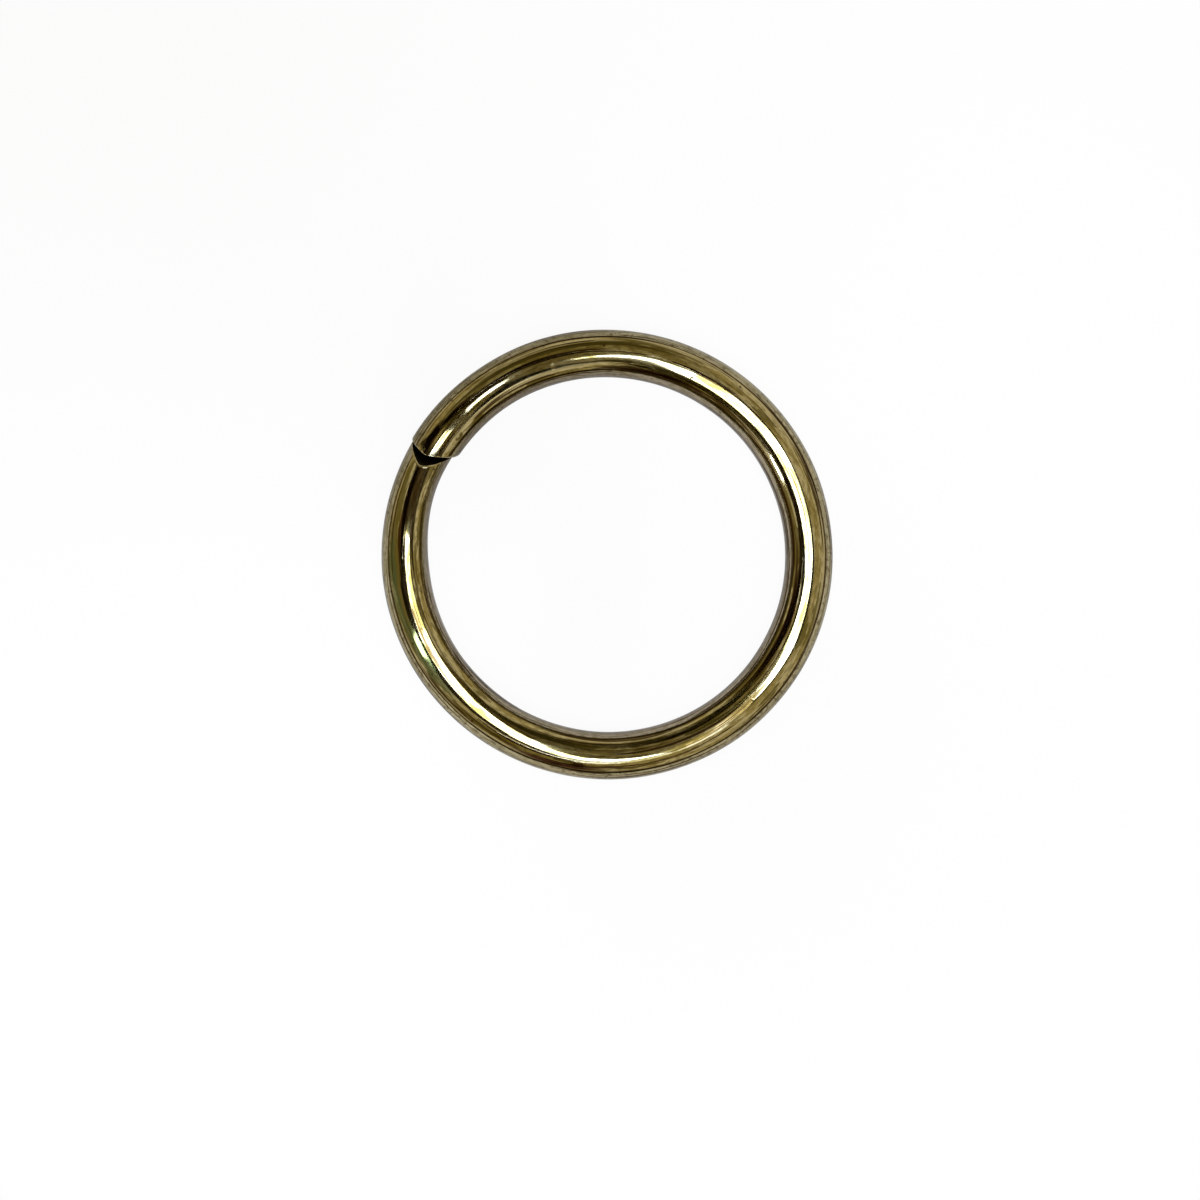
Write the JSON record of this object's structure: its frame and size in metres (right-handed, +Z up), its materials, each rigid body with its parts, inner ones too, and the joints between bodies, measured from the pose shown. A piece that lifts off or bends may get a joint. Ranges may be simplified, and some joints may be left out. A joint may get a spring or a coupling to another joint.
{
  "type": "split ring",
  "caption": "Open ring bent from round wire, its two sheared ends butted together, antique brass finish; for joining straps, cords and bags.",
  "frame": {"origin": "centre of the ring, halfway up the wire", "axes": "+Z straight up through the eye, out of the ring's plane; +X from the centre to the joint; the spread end of the wire is on the -Y side of the joint and the necked end on the +Y side"},
  "size_m": [0.0324, 0.032, 0.0034],
  "materials": {
    "antique_brass": "antique brass: polished high spots, brown and near-black stain in streaks along the wire, dark bare metal in the cut"
  },
  "bodies": {
    "root": {"split_ring": "antique_brass"}
  },
  "joints": []
}
